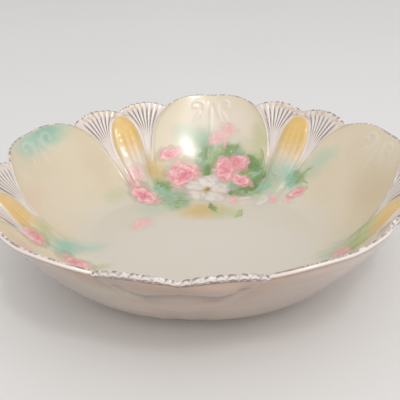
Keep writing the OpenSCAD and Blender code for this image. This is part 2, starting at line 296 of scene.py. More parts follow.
class Wall:
    """Where a point of the bowl lies. A point of the profile is a complex number: radius + 1j * height."""

    def __init__(self, size):
        self.size = size
        self.notch = math.asin(size.lobe_width / 2 / size.notch_radius)
        self.meet = HALF_SECTOR - math.asin(size.meet_width / 2 / size.floor_radius_petal)
        self.fan_half = (HALF_SECTOR - self.notch) / 2

    def rim(self, p):
        """The point of the rim's top at an angle."""
        size = self.size
        on_lobe = p < self.notch
        lobe = 1 - np.clip(p / self.notch, 0, 1) ** LOBE_POWER
        dip = size.lobe_dip * bell(p / self.notch / DIP_WIDTH)
        from_petal = np.hypot(HALF_SECTOR - p, NOTCH_ROUNDING)
        off_crown = np.abs(self.fan_half - from_petal) / self.fan_half
        fan = 1 - np.clip(off_crown, 0, 1) ** FAN_POWER
        radius = size.notch_radius + np.where(on_lobe, size.lobe_lean * lobe, size.fan_lean * fan)
        height = size.notch_height + np.where(on_lobe, size.lobe_rise * lobe - dip, size.fan_rise * fan)
        return radius + 1j * height

    def rim_angle(self, p, v):
        """The angle at the rim with the same place on its lobe, or beside it, as p has at height v."""
        edge = self.lobe_edge(v)
        beside = HALF_SECTOR - (HALF_SECTOR - p) * (HALF_SECTOR - self.notch) / (HALF_SECTOR - edge)
        return np.where(p < edge, p * self.notch / edge, beside)

    def curve(self, p, v):
        """A point of the outer profile and the direction of the profile there."""
        size = self.size
        lobe_share = (1 + np.cos(LOBES * p)) / 2
        along = np.exp(1j * mix(size.slope_petal, size.slope_lobe, lobe_share))
        start = mix(size.floor_radius_petal, size.floor_radius_lobe, lobe_share) + 1j * size.foot_height
        end = self.rim(self.rim_angle(p, v)) - 1j * along * size.rim_thickness / 2 - along * size.lip_height
        low = start + mix(size.belly_petal, size.belly_lobe, lobe_share)
        high = end - along * size.shoulder
        u = 1 - v
        point = u**3 * start + 3 * u * u * v * low + 3 * u * v * v * high + v**3 * end
        way = u * u * (low - start) + 2 * u * v * (high - low) + v * v * (end - high)
        return point, way / np.abs(way)

    def lobe_edge(self, v):
        """Angle of a lobe's edge."""
        return mix(self.meet, self.notch, v**SPREAD_POWER)

    def middle_radius(self, v):
        """Radius of the wall at a petal's middle."""
        return self.curve(np.full_like(v, HALF_SECTOR), v)[0].real

    def field_half(self, v):
        """Half width of the field between two lobes."""
        return self.middle_radius(v) * np.sin(HALF_SECTOR - self.lobe_edge(v))

    def level(self, p, v):
        """Height on the wall as it would be if the rim ran level across a petal."""
        rise = (self.rim(self.rim_angle(p, v)) - self.rim(HALF_SECTOR)).imag
        return v + smooth(v) * rise / WALL_RUN

    def petal_outline(self, p, v):
        """Half width of a petal at the level of a point, and how far up its round cap the point is."""
        size = self.size
        up = self.level(p, v) - size.petal_belly
        tail = 1 - TAIL_TAPER * np.clip(-up / size.petal_belly, 0, 1) ** TAIL_POWER
        widest = np.minimum(size.petal_width / 2 * tail, self.field_half(v) - size.tail_margin)
        return widest, np.maximum(up, 0) / (size.petal_tip - size.petal_belly)

    def petal_half(self, v):
        """Half width of a petal at heights v, found by closing in on its outline."""
        half = np.zeros_like(v)
        for _ in range(OUTLINE_PASSES):
            p = HALF_SECTOR - np.arcsin(half / self.middle_radius(v))
            widest, cap = self.petal_outline(p, v)
            half = (half + widest * np.sqrt(np.maximum(TIP_BLUNTNESS**2, 1 - cap**2))) / 2
        return half * (1 - TIP_TAPER * ramp((self.size.petal_tip, 1), v))

    def gap(self, v):
        """Width of the gap between a petal and a fan."""
        size = self.size
        widest = mix(size.petal_gap, size.tip_gap, ramp(GAP_CLOSES, v))
        return np.minimum(widest, GAP_SHARE * (self.field_half(v) - self.petal_half(v)))

    def edges(self, v):
        """Angles of the zones' edges at heights v, as one row for each edge."""
        size = self.size
        radius = self.middle_radius(v)
        half = self.field_half(v)
        petal = self.petal_half(v)
        off = [half - size.step_width, petal + self.gap(v), petal]
        inner = [HALF_SECTOR - np.arcsin(width / radius) for width in off]
        lobe = self.lobe_edge(v) - (size.roll_width - size.step_width) / radius
        return np.array([np.zeros_like(v), lobe, *inner, np.full_like(v, HALF_SECTOR)])

    def stations(self, zone, t, v):
        """Angles of columns, given by their zone and place in it, at each height in v."""
        edges = self.edges(v)
        low, high = edges[zone], edges[zone + 1]
        return (low + (high - low) * t[:, None]).T

    def thickness(self, v):
        """Thickness of the wall."""
        return mix(self.size.floor_thickness, self.size.rim_thickness, ramp(WALL_THINS, v))

    def over_root(self, span):
        """A span of heights over a fan's root, as heights on the wall."""
        return [self.size.fan_root + height for height in span]

    def field(self, v):
        """Depth of the field that holds the fans, and of the valley below it."""
        size = self.size
        sunk = size.field_depth * ramp(self.over_root(FIELD_SINKS), v)
        return np.maximum(sunk, size.valley_depth * ramp(VALLEY_COMES, v))

    def swell(self, p, v):
        """How far the inside is pushed out behind the fans."""
        comes = smooth((p - self.lobe_edge(v)) / self.fan_half)
        return INNER_SWELL * self.size.swell * comes * ramp(SWELL_COMES, v) * (1 - ramp(SWELL_GOES, v))

    def crease(self, p, v):
        """Place across from a lobe's edge to the petal's middle, and height over the crease there."""
        edge = self.lobe_edge(v)
        across = (p - edge) / (HALF_SECTOR - edge)
        falls = np.clip(1 - across / CREASE_LOW_AT, 0, 1) ** CREASE_POWERS[0]
        climbs = np.clip((across - CREASE_LOW_AT) / (1 - CREASE_LOW_AT), 0, 1) ** CREASE_POWERS[1]
        drop, climb = (end - CREASE_LOW for end in CREASE_ENDS)
        return across, v - CREASE_LOW - drop * falls - climb * climbs

    def crease_line(self, p, v):
        """Painted shade outside: 1 in the crease under the swell behind a fan, and less on the swell over
        it.
        """
        across, over = self.crease(p, v)
        shade = np.where(over > 0, CREASE_SHADE * (1 - smooth(over / SHADE_RUN)), 0)
        dark = np.maximum(bell(over / (2 * CREASE_WIDTH)), shade)
        return dark * smooth(across / CREASE_STARTS) * (1 - CREASE_FADES * smooth(across))

    def bulge(self, p, v):
        """How far the outside stands out behind each fan, over its crease."""
        across, over = self.crease(p, v)
        comes = np.clip(over / CREASE_RUN, 0, 1) ** BULGE_POWER
        swell = self.size.swell * smooth(across / BULGE_STARTS) * comes
        groove = self.size.crease_depth * bell(over / CREASE_WIDTH) * smooth(across / CREASE_STARTS)
        return (swell - groove) * (1 - ramp(SWELL_GOES, v))

    def inside(self, p, v, height):
        """A point of the inner face, raised by a height."""
        point, way = self.curve(p, v)
        return point + 1j * way * (self.thickness(v) - self.swell(p, v) + height)

    def outside(self, p, v, out):
        """A point of the outer face, moved outwards."""
        point, way = self.curve(p, v)
        return point - 1j * way * (self.bulge(p, v) + out)

    def lip(self, p, turn, height, out, rise):
        """Round the rim: turn runs from 0 inside to pi outside."""
        point, way = self.curve(p, np.ones_like(p))
        thick = self.size.rim_thickness + height
        middle, half = (thick - out) / 2, (thick + out) / 2
        across = middle + half * np.cos(turn)
        up = (self.size.lip_height + rise) * np.sin(turn)
        return point + 1j * way * across + way * up

    def off_middle(self, p, v):
        """Distance from the middle line of a petal."""
        return self.middle_radius(v) * np.sin(HALF_SECTOR - p)

    def egg(self, p, v):
        """1 on the outline of a petal, and less within it."""
        widest, cap = self.petal_outline(p, v)
        return np.hypot(self.off_middle(p, v) / widest, cap)

    def petal_fade(self, v):
        """Share of its edge's thickness that a petal has."""
        size = self.size
        comes = ramp((size.petal_tail, size.petal_tail + TAIL_RUN), v)
        return comes * (1 - ramp((size.petal_tip - TIP_RUN, size.petal_tip), v))

    def petal_lift(self, p, v):
        """Height of a petal above the field."""
        size = self.size
        dome = np.sqrt(np.maximum(0, 1 - self.egg(p, v) ** 2))
        comes = ramp((size.petal_tail, size.petal_tail + DOME_RUN), v)
        across = self.off_middle(p, v) / self.petal_half(v)
        vein = bell(across / VEIN_WIDTH) + bell((across - SIDE_VEIN_AT) / VEIN_WIDTH)
        ripple = mix(1, np.sin(RIPPLE_RATE * v + RIPPLE_SLANT * across), RIPPLE_DEPTH)
        shows = ripple * ramp(VEIN_COMES, v) * (1 - ramp(VEIN_GOES, v))
        height = size.petal_height * comes + size.vein_height * vein * shows
        return size.petal_edge * self.petal_fade(v) + height * dome

    def outline(self, p, v):
        """Height of the thin bead round a petal."""
        size = self.size
        off = (self.egg(p, v) - 1) * self.petal_outline(p, v)[0]
        room = self.gap(np.minimum(v, GAP_CLOSES[0])) / size.petal_gap
        centre = OUTLINE_OFF * size.outline_width * room
        bead = bell((off - centre) / (size.outline_width * np.maximum(room, OUTLINE_LEAST)))
        goes = 1 - ramp((size.petal_tip + TIP_CLEAR, 1), v)
        return size.outline_height * room * bead * ramp(VALLEY_COMES, v) * goes

    def fan_fade(self, v):
        """Share of its edge's thickness that a fan has, which is 0 below its root."""
        comes = mix(FAN_START, 1, ramp(self.over_root(FAN_COMES), v))
        return np.where(v < self.size.fan_root - HAIR, 0, comes)

    def rib_place(self, f, v):
        """Place across a fan by its ribs, which run straight from the stem to just past the rim."""
        start = np.minimum(self.over_root(FAN_COMES)[1], v)
        now, low, top = (self.edges(h)[FAN:FAN + 2] for h in (v, start, np.ones_like(v)))
        straight = mix(low, top, (v - start) / (RIB_END - start))
        return (mix(now[0], now[1], f) - straight[0]) / (straight[1] - straight[0])

    def rib_part(self, f, v):
        """Height that the ribs add to a fan, by the place across it and the height on the wall."""
        size = self.size
        comes = ramp(self.over_root(RIBS_COME), v)
        high = mix(size.rib_height * comes, size.rib_tip, ramp(RIB_TIPS, v))
        power = mix(RIB_POWER, RIB_TIP_POWER, ramp(CREST_SOFTENS, v))
        crest = np.abs(np.sin(math.pi * size.ribs * self.rib_place(f, v))) ** power
        return high * crest * smooth(f / FAN_MARGIN) * smooth((1 - f) / FAN_MARGIN)

    def fan_lift(self, f, v):
        """Height of a fan above the field."""
        size = self.size
        stem = 1 - ramp(self.over_root(STEM_GOES), v)
        cup = np.sqrt(np.maximum(0, 1 - (2 * f - 1) ** 2))
        return self.fan_fade(v) * (size.fan_edge + size.stem_height * stem * cup) + self.rib_part(f, v)


def crest(off, wide):
    """A rounded ridge: 1 on its line and 0 from its half width on."""
    return np.clip(1 - (off / np.maximum(wide, SCROLL_THIN)) ** 2, 0, 1) ** SCROLL_POWER


def scrolls(x, y, height):
    """Relief pressed into a lobe's crown: curled leaves and beads over a spray of feathers.
    x runs across from the lobe's middle and y runs down from the rim, in metres."""
    x, y = np.abs(x) / MM, y / MM
    relief = np.zeros_like(x)
    for (cx, cy), radius, wide, sweep in CURLS:
        around = np.arctan2(x - cx, cy - y)
        place = np.mod(around + CURL_START, 2 * math.pi) / sweep
        taper = wide * np.sqrt(np.clip(1 - place, 0, 1)) * np.clip(place * CURL_OPENS, 0, 1)
        off = np.abs(np.hypot(x - cx, y - cy) - radius * (1 - CURL_CLOSES * place))
        relief = np.maximum(relief, crest(off, taper))
    for (fx, fy), lean, long, wide in FEATHERS:
        turn = math.radians(lean)
        down = (x - fx) * math.sin(turn) + (y - fy) * math.cos(turn)
        across = np.abs((x - fx) * math.cos(turn) - (y - fy) * math.sin(turn))
        place = np.clip(down / long, 0, 1)
        taper = wide * np.sqrt(4 * place * (1 - place)) * mix(*FEATHER_ENDS, place)
        leaf = np.where(taper > SCROLL_THIN, FEATHER_SHARE * crest(across, taper), 0)
        relief = np.maximum(relief, leaf)
    return height * relief


def spaced(*spans):
    """Places from each span's start to the next, each as (start, end, steps), with the last end."""
    parts = [np.linspace(a, b, n, endpoint=False) for a, b, n in spans]
    return np.concatenate([*parts, [spans[-1][1]]])


def at_angle(q, turn):
    """Points of the profile turned about the bowl's axis."""
    return np.stack([q.real * np.cos(turn), q.real * np.sin(turn), q.imag + 0 * turn], -1)


def lobe_turn(index):
    """Angle of a lobe's middle about the bowl's axis; lobes are counted from 1."""
    return FIRST_LOBE + 2 * HALF_SECTOR * (index - 1)


def each_column(v, columns):
    """Heights of rows, given again for each column."""
    return np.repeat(v[:, None], columns, 1)


def level_radius(points):
    """Distance of each point from the bowl's axis."""
    return np.hypot(points[..., 0], points[..., 1])


def path_lengths(points):
    """Distance along each column from its first point, in metres."""
    steps = np.linalg.norm(np.diff(points, axis=0), axis=2)
    return np.concatenate([np.zeros((1, points.shape[1])), np.cumsum(steps, axis=0)])


def grid_faces(rows, columns, ring=False, first=0):
    """Four-cornered faces between rows of points; a ring joins its last column to its first."""
    i, j = np.meshgrid(np.arange(rows - 1), np.arange(columns if ring else columns - 1), indexing="ij")
    low, high = first + i * columns, first + (i + 1) * columns
    k = (j + 1) % columns
    return np.stack([low + j, low + k, high + k, high + j], -1).reshape(-1, 4)


def loop_strip(first, second):
    """Faces that join two equal loops of points."""
    return np.stack([first, second, np.roll(second, -1), np.roll(first, -1)], -1)


def border(rows, columns):
    """Indices round the edge of a grid."""
    index = np.arange(rows * columns).reshape(rows, columns)
    return np.concatenate([index[0, :-1], index[:-1, -1], index[-1, :0:-1], index[:0:-1, 0]])


class Shape:
    """Points, faces and per-point notes of one piece."""

    def __init__(self, points, faces, chart, zone):
        self.points = points.reshape(-1, 3)
        self.faces = faces
        self.chart = chart.reshape(-1, 3)
        self.zone = zone.reshape(-1, 3)


def volume(points, faces):
    """Six times the volume that the faces hold, negative where they face inwards."""
    a, b, c, d = (points[faces[:, k]] for k in range(4))
    return np.sum(np.cross(a, b) * c) + np.sum(np.cross(a, c) * d)


def to_object(name, shape, uv, sharp_points=None, weld=False, material_rows=None):
    """Makes an object of a shape, with its notes as attributes and its own map for painting."""
    faces, places = shape.faces, uv
    if volume(shape.points, faces) < 0:
        faces, places = faces[:, ::-1], uv[:, ::-1]
    mesh = bpy.data.meshes.new(name)
    mesh.vertices.add(len(shape.points))
    mesh.vertices.foreach_set("co", shape.points.ravel())
    mesh.loops.add(faces.size)
    mesh.loops.foreach_set("vertex_index", faces.ravel().astype(np.int32))
    mesh.polygons.add(len(faces))
    mesh.polygons.foreach_set("loop_start", np.arange(0, faces.size, 4, dtype=np.int32))
    if material_rows is not None:
        mesh.polygons.foreach_set("material_index", material_rows.astype(np.int32))
    mesh.update(calc_edges=True)
    layer = mesh.uv_layers.new(name="OFBake")
    layer.uv.foreach_set("vector", places.ravel().astype(np.float32))
    for label, values in (("chart", shape.chart), ("zone", shape.zone)):
        note = mesh.attributes.new(label, "FLOAT_VECTOR", "POINT")
        note.data.foreach_set("vector", values.ravel().astype(np.float32))
    if weld:
        joined = bmesh.new()
        joined.from_mesh(mesh)
        bmesh.ops.remove_doubles(joined, verts=joined.verts, dist=WELD)
        joined.to_mesh(mesh)
        joined.free()
    mesh.shade_smooth()
    mesh.set_sharp_from_angle(angle=SHARP)
    if sharp_points is not None:
        ends = np.empty(len(mesh.edges) * 2, np.int32)
        mesh.edges.foreach_get("vertices", ends)
        on_border = np.zeros(len(shape.points), bool)
        on_border[sharp_points] = True
        kept = np.empty(len(mesh.edges), bool)
        mesh.edges.foreach_get("use_edge_sharp", kept)
        mesh.edges.foreach_set("use_edge_sharp", kept | on_border[ends.reshape(-1, 2)].all(1))
    piece = bpy.data.objects.new(name, mesh)
    bpy.context.scene.collection.objects.link(piece)
    return piece


def dress(piece, node, slot, *materials):
    """Puts a piece in the frame, in place of its solid, with its finish."""
    for material in materials:
        piece.data.materials.append(material)
    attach(piece, "root")
    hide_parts(node)


def inside_rows(size):
    """Heights of the rows inside, closer together where the relief is fine."""
    return spaced(
        (0, size.petal_tail, 4), (size.petal_tail, size.fan_root, 20),
        (size.fan_root, size.petal_tip, 46), (size.petal_tip, 1, 9))


# Rows, columns and steps of the meshes. A power spreads a petal's columns, and its face stands off its bed
# by a thin skin at least.
LIP_TURNS = np.linspace(0, math.pi, 11)[1:-1]
LAP_ROWS = spaced((1, LAP_END, 5))
OUTSIDE_ROWS = spaced((LAP_END, 0.77, 25), (0.77, 0.5, 7), (0.5, 0, 10))
FLOOR_RINGS = 9
UNDER_RINGS = 6
RIB_STEPS = 14
PETAL_COLUMNS = 41
PETAL_SPREAD = 0.8
PETAL_SKIN = 0.02 * MM
FOOT_COLUMNS = 256
ROUND_STEPS = 7

# Maps: the discs of the wall by centre and radius, the strips of a relief by height and start, and a margin
INSIDE_DISC = (0.375, 0.365)
OUTSIDE_DISC = (0.805, 0.19)
FACE_STRIP = (0.62, 0.02)
BACK_STRIP = (0.3, 0.68)
MAP_MARGIN = 0.02


def body_columns():
    """Zone, place in it, side and sector of each column of the wall. Where a relief covers the wall, two
    columns share an edge: one on the surface, and one on the bed under the relief."""
    places = [
        (LOBE, spaced((0, 0.45, 23), (0.45, 1, 11))),
        (ROLL, np.linspace(0, 1, 10)[1:]),
        (FAN, np.linspace(0, 1, 7)),
        (GAP, np.linspace(0, 1, 9)),
        (PETAL, np.linspace(0, 1, 4)),
    ]
    zone = np.concatenate([np.full(len(t), name) for name, t in places])
    place = np.concatenate([t for _, t in places])
    order = np.concatenate([np.arange(len(zone))[1:-1][::-1], np.arange(len(zone))])
    side = np.where(np.arange(len(order)) < len(zone) - 2, -1, 1)
    sector = np.repeat(np.arange(LOBES), len(order))
    return [np.tile(a, LOBES) for a in (zone[order], place[order], side)] + [sector]


def body_heights(wall, zone, t, p, v, x, down):
    """Height of the wall's inside over the level of the lobes, at rows v."""
    size = wall.size
    field = wall.field(v)
    fan_edge = size.fan_edge * wall.fan_fade(v)
    shows = ramp(VALLEY_COMES, v) * (1 - ramp(BEAD_GOES, v))
    bead = size.roll_bead * bell((t - BEAD_AT) / BEAD_WIDTH) * shows
    turn = np.clip(2 * t - 1, 0, 1)
    rolled = bead - (field - fan_edge) * (1 - np.sqrt(1 - turn**2))
    petal_edge = size.petal_edge * wall.petal_fade(v)
    outline = wall.outline(p, v)
    # The edges of the fan and of the petal run down in the outer thirds of the gap.
    gap = outline - field + fan_edge * (1 - smooth(3 * t)) + petal_edge * smooth(3 * t - 2)
    above = np.where(v > size.petal_tip, outline, 0) - field
    return np.select(
        [zone == LOBE, zone == ROLL, zone == FAN, zone == GAP],
        [scrolls(x, down, size.scroll_height), rolled, -field, gap], above)


def discs_map(turns, inner, outer):
    """A map with the inside as a large disc and the outside as a smaller one."""
    places = []
    for reach, (centre, radius) in ((inner, INSIDE_DISC), (outer, OUTSIDE_DISC)):
        scale = radius / reach.max() * reach
        places.append(centre + at_angle(scale + 0j, turns)[..., :2])
    return places


def wall_notes(zone, t, heights, from_rim):
    """Notes for the wall's glaze: millimetres past the rim, the painted shade of a line in a crevice, and
    the fields' white.
    """
    line = np.select([zone == ROLL, zone == GAP], [ramp(ROLL_LINE, t), 1 - ramp(GAP_LINE, t)], 0)
    white = np.select([zone == LOBE, zone == ROLL], [0 * t, ramp(ROLL_WHITE, t)], 1)
    shows, pales = ramp(LINE_COMES, heights)[:, None], ramp(FIELD_PALES, heights)[:, None]
    return np.stack([from_rim / MM, shows * line, pales * white], -1)


def build_wall(size, inner_glaze, outer_glaze):
    """The wall and floor, with its beds under the fans and petals."""
    wall = Wall(size)
    zone, t, side, sector = body_columns()
    middle = lobe_turn(sector + 1)

    def angles(v):
        p = wall.stations(zone, t, v)
        return p, middle + side * p

    rows = inside_rows(size)
    p, turns = angles(rows)
    v = each_column(rows, len(zone))
    level = at_angle(wall.inside(p, v, 0), turns)
    climb = path_lengths(level)
    reach = level_radius(level[:1]) + climb
    height = body_heights(wall, zone, t, p, v, level_radius(level) * p, climb[-1] - climb)
    inside = at_angle(wall.inside(p, v, height), turns)

    rim_p, rim_turn = p[-1:], turns[-1:]
    under_fan = zone == FAN
    lap = np.where(under_fan, -size.lap_depth, 0)
    lift = np.where(zone == LOBE, 0, height[-1] + wall.field(v[-1]))
    rise = np.where(under_fan, -size.lap_depth, np.where(zone == ROLL, size.fan_edge * t, lift))
    lip = np.concatenate([
        at_angle(wall.lip(rim_p, a, height[-1], lap, rise), rim_turn) for a in LIP_TURNS])

    def outer_rows(heights, out):
        q, turn = angles(heights)
        v = each_column(heights, len(zone))
        return at_angle(wall.outside(q, v, out), turn), turn, wall.crease_line(q, v)

    lapped, lapped_turns, _ = outer_rows(LAP_ROWS, lap)
    outside, outside_turns, crease = outer_rows(OUTSIDE_ROWS, 0)
    shrink = np.linspace(0, 1, FLOOR_RINGS, endpoint=False)[:, None, None] * [1, 1, 0] + [0, 0, 1]
    under = np.linspace(1, 0, UNDER_RINGS + 1)[1:, None, None] * [1, 1, 0] + [0, 0, 1]
    points = np.concatenate([shrink * inside[:1], inside, lip, lapped, outside, under * outside[-1:]])
    turns = np.concatenate([
        np.repeat(turns[:1], FLOOR_RINGS, 0), turns, np.repeat(rim_turn, len(LIP_TURNS), 0),
        lapped_turns, outside_turns, np.repeat(outside_turns[-1:], UNDER_RINGS, 0)])

    along = path_lengths(points)
    along[:FLOOR_RINGS] = level_radius(points[:FLOOR_RINGS])
    along[FLOOR_RINGS:FLOOR_RINGS + len(rows)] = reach
    rim_row = FLOOR_RINGS + len(rows) - 1
    outer_row = rim_row + len(LIP_TURNS) + 1
    along[rim_row:] = reach[-1] + path_lengths(points[rim_row:])
    from_rim = along - reach[-1]
    backwards = path_lengths(points[::-1])[::-1]

    count, columns = turns.shape
    faces = grid_faces(count, columns, ring=True)
    inner_uv, outer_uv = discs_map(turns, along, backwards)
    top = rim_row + (len(LIP_TURNS) + 1) // 2
    face_row = faces.min(1) // columns
    uv = np.where((face_row < top)[:, None, None],
                  inner_uv.reshape(-1, 2)[faces], outer_uv.reshape(-1, 2)[faces])

    heights = np.concatenate([np.zeros(FLOOR_RINGS), rows, np.ones(count - FLOOR_RINGS - len(rows))])
    notes = wall_notes(zone, t, heights, from_rim)
    # The lines of painted shade beside the relief end at the lip, and the crease's painted shade takes their
    # place outside. On the lobes, where there is no field, the third note goes below 0 with the height of
    # the scrolls in millimetres, which whitens their ridges, partly as painted highlight.
    notes[outer_row:, :, 1] = 0
    notes[-len(crease) - UNDER_RINGS:-UNDER_RINGS, :, 1] = crease
    notes[FLOOR_RINGS:rim_row + 1, :, 2] -= np.where(zone == LOBE, height, 0) / MM

    shape = Shape(points, faces, at_angle(along + 0j, turns) / MM, notes)
    piece = to_object("porcelain_wall", shape, uv, weld=True, material_rows=face_row >= outer_row)
    dress(piece, "bowl_body", "glazed_porcelain", inner_glaze, outer_glaze)


def margined(count):
    """Places across a map, with a margin at both ends."""
    return np.linspace(MAP_MARGIN, 1 - MAP_MARGIN, count)


def closed_patch(front, back, chart, notes):
    """A thin solid between two grids of points, its map, and the points round its face."""
    rows, columns = front.shape[:2]
    count = rows * columns
    face = grid_faces(rows, columns)
    behind = grid_faces(rows, columns, first=count)[:, ::-1]
    ring = border(rows, columns)
    sides = loop_strip(ring, ring + count)
    place = np.stack(np.meshgrid(margined(columns), np.linspace(0, 1, rows)), -1)
    face_uv, back_uv = (
        (place * [1, high] + [0, start]).reshape(-1, 2) for high, start in (FACE_STRIP, BACK_STRIP))
    uv = np.concatenate([face_uv[face], back_uv[behind - count], back_uv[sides % count]])
    shape = Shape(
        np.concatenate([front, back]), np.concatenate([face, behind, sides]),
        np.concatenate([chart, chart]), np.concatenate([notes, notes]))
    return shape, uv, ring


def build_fan(size, index, side, glaze):
    """A shell fan with its stem, lapped over the rim. Its side is -1 before its lobe and 1 after it."""
    wall = Wall(size)
    f = np.linspace(0, 1, size.ribs * RIB_STEPS + 1)
    zone = np.full(len(f), FAN)
    heights = inside_rows(size)[::-1]
    heights = heights[heights >= size.fan_root - HAIR]
    lap_rows = LAP_ROWS[::-1]
    rib = size.rib_lap * wall.rib_part(f, np.ones_like(f))

    def rows_at(v, place):
        p = wall.stations(zone, f, v)
        return at_angle(place(p, each_column(v, len(f))), lobe_turn(index) + side * p)

    top = np.ones(1)
    rim_lift = wall.fan_lift(f, np.ones_like(f))
    bed = -wall.field(top)
    lap = size.lap_depth
    front = np.concatenate([
        rows_at(lap_rows, lambda p, v: wall.outside(p, v, rib * ramp((LAP_END, 1), v))),
        *[rows_at(top, lambda p, v: wall.lip(p, a, bed + rim_lift, rib, rim_lift)) for a in LIP_TURNS[::-1]],
        rows_at(heights, lambda p, v: wall.inside(p, v, wall.fan_lift(f, v) - wall.field(v))),
    ])
    back = np.concatenate([
        rows_at(lap_rows, lambda p, v: wall.outside(p, v, -lap)),
        *[rows_at(top, lambda p, v: wall.lip(p, a, bed, -lap, -lap)) for a in LIP_TURNS[::-1]],
        rows_at(heights, lambda p, v: wall.inside(p, v, -wall.field(v))),
    ])
    along = path_lengths(front)
    rim_row = len(lap_rows) + len(LIP_TURNS)
    v = each_column(np.concatenate([np.ones(rim_row), heights]), len(f))
    # Notes for the fan's glaze: place by ribs, height on the wall, and millimetres past the rim
    notes = np.stack([size.ribs * wall.rib_place(f, v), v, (along[rim_row] - along) / MM], -1)
    shape, uv, ring = closed_patch(front, back, front / MM, notes)
    name = "left" if side < 0 else "right"
    piece = to_object(f"shell_{name}_{index}", shape, uv, sharp_points=ring)
    dress(piece, f"fan_{name}_{index}", "shell_fan", glaze)


def build_petal(size, index, lustre):
    """A petal-shaped boss with a round cap, after the lobe of the same number."""
    wall = Wall(size)
    across = np.linspace(-1, 1, PETAL_COLUMNS)
    across = np.sign(across) * np.abs(across) ** PETAL_SPREAD
    heights = inside_rows(size)
    p = wall.stations(np.full(len(across), PETAL), 1 - np.abs(across), heights)
    v = each_column(heights, len(across))
    turns = lobe_turn(index) + HALF_SECTOR + np.sign(across) * (HALF_SECTOR - p)
    level = at_angle(wall.inside(p, v, 0), turns)
    along = level_radius(level[:1]) + path_lengths(level)
    front = at_angle(wall.inside(p, v, wall.petal_lift(p, v) + PETAL_SKIN - wall.field(v)), turns)
    back = at_angle(wall.inside(p, v, -wall.field(v)), turns)
    chart = at_angle(along + 0j, turns) / MM
    # Notes for the lustre: place across, height on the wall, and nearness to the outline
    notes = np.stack([np.broadcast_to(across, v.shape), v, wall.egg(p, v)], -1)
    kept = (heights >= size.petal_tail - HAIR) & (heights <= size.petal_tip + HAIR)
    shape, uv, ring = closed_patch(front[kept], back[kept], chart[kept], notes[kept])
    piece = to_object(f"gilt_petal_{index}", shape, uv, sharp_points=ring)
    dress(piece, f"boss_{index}", "gilt_boss", lustre)


def build_foot(size, glaze):
    """The foot ring, rounded below and run into the floor above."""
    inner, outer = size.foot_radius - size.foot_width, size.foot_radius
    round_r, high = size.foot_round, size.foot_height
    quarter = np.linspace(0, math.pi / 2, ROUND_STEPS)
    rise, swing = round_r * np.sin(quarter), round_r * (1 - np.cos(quarter))
    low_in = inner + swing + 1j * (round_r - rise)
    low_out = outer - round_r + rise + 1j * swing
    flare_out = outer + swing + 1j * (high - round_r + rise)
    flare_in = (inner - swing + 1j * (high - round_r + rise))[::-1]
    tread = np.linspace(inner + round_r, outer - round_r, ROUND_STEPS)[1:-1] + 0j
    profile = np.concatenate([low_in, tread, low_out, flare_out, flare_in])
    rows, columns = len(profile), FOOT_COLUMNS
    turns = np.linspace(0, 2 * math.pi, columns, endpoint=False)[None] + np.zeros((rows, 1))
    points = at_angle(profile[:, None], turns)
    first, last = np.arange(columns), np.arange(columns) + (rows - 1) * columns
    faces = np.concatenate([grid_faces(rows, columns, ring=True), loop_strip(first, last)])
    across, up = np.meshgrid(margined(columns), margined(rows))
    uv = np.stack([across, up], -1).reshape(-1, 2)[faces]
    # Notes for the foot's glaze: height in millimetres, and place round its profile
    notes = np.stack([points[..., 2] / MM, up, up], -1)
    piece = to_object("porcelain_foot", Shape(points, faces, points / MM, notes), uv)
    dress(piece, "foot_ring", "foot_porcelain", glaze)


def math_node(operation, reflected=False):
    """A method of Value that adds one Math node; a reflected one has the value last."""
    def method(self, *others):
        terms = (*others, self) if reflected else (self, *others)
        node = self.finish.node("ShaderNodeMath", {"operation": operation}, dict(enumerate(terms)))
        return Value(self.finish, node.outputs[0])
    return method


class Value:
    """A number in a finish. Sums, products and other operations on it add Math nodes."""

    def __init__(self, finish, socket):
        self.finish = finish
        self.socket = socket

    __add__ = math_node("ADD")
    __radd__ = math_node("ADD", reflected=True)
    __sub__ = math_node("SUBTRACT")
    __rsub__ = math_node("SUBTRACT", reflected=True)
    __mul__ = math_node("MULTIPLY")
    __rmul__ = math_node("MULTIPLY", reflected=True)
    __pow__ = math_node("POWER")
    __abs__ = math_node("ABSOLUTE")
    __lt__ = math_node("LESS_THAN")
    least = math_node("MINIMUM")
    most = math_node("MAXIMUM")
    sine = math_node("SINE")
    fraction = math_node("FRACT")

    # The angle of a point this far up and the other value across
    angle_over = math_node("ARCTAN2")

    def eased(self, low, high, most=1):
        """0 at low and most at high, eased between them; low may be above high."""
        node = self.finish.node(
            "ShaderNodeMapRange", {"interpolation_type": "SMOOTHSTEP"},
            {"Value": self, "From Min": low, "From Max": high, "To Max": most})
        return Value(self.finish, node.outputs["Result"])

    def band(self, comes, goes):
        """1 between two spans: it comes over the first one and goes over the second."""
        return self.eased(*comes) * self.eased(*goes)


